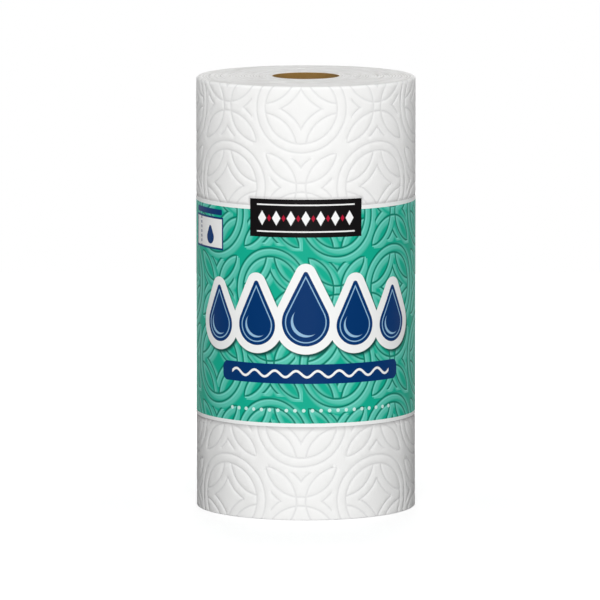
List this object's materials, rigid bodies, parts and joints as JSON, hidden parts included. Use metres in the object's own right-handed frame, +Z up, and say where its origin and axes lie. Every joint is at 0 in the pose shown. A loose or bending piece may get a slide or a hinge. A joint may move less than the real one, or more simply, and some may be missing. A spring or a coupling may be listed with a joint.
{
  "type": "paper towel roll",
  "caption": "Roll of embossed paper towel wound on a paperboard core, with a printed paper band round its middle. It stands on end or turns on a holder's rod.",
  "frame": {"origin": "centre of the lower end, where the roll stands", "axes": "+Z up along the core's axis, the front of the band towards -Y and the loose edge of the last turn at the back"},
  "size_m": [0.1424, 0.1426, 0.2794],
  "materials": {
    "paperboard": "matte",
    "towel_paper": "matte",
    "printed_paper": "satin"
  },
  "bodies": {
    "root": {"core": "paperboard", "towel_roll": "towel_paper", "label_band": "printed_paper"}
  },
  "joints": []
}
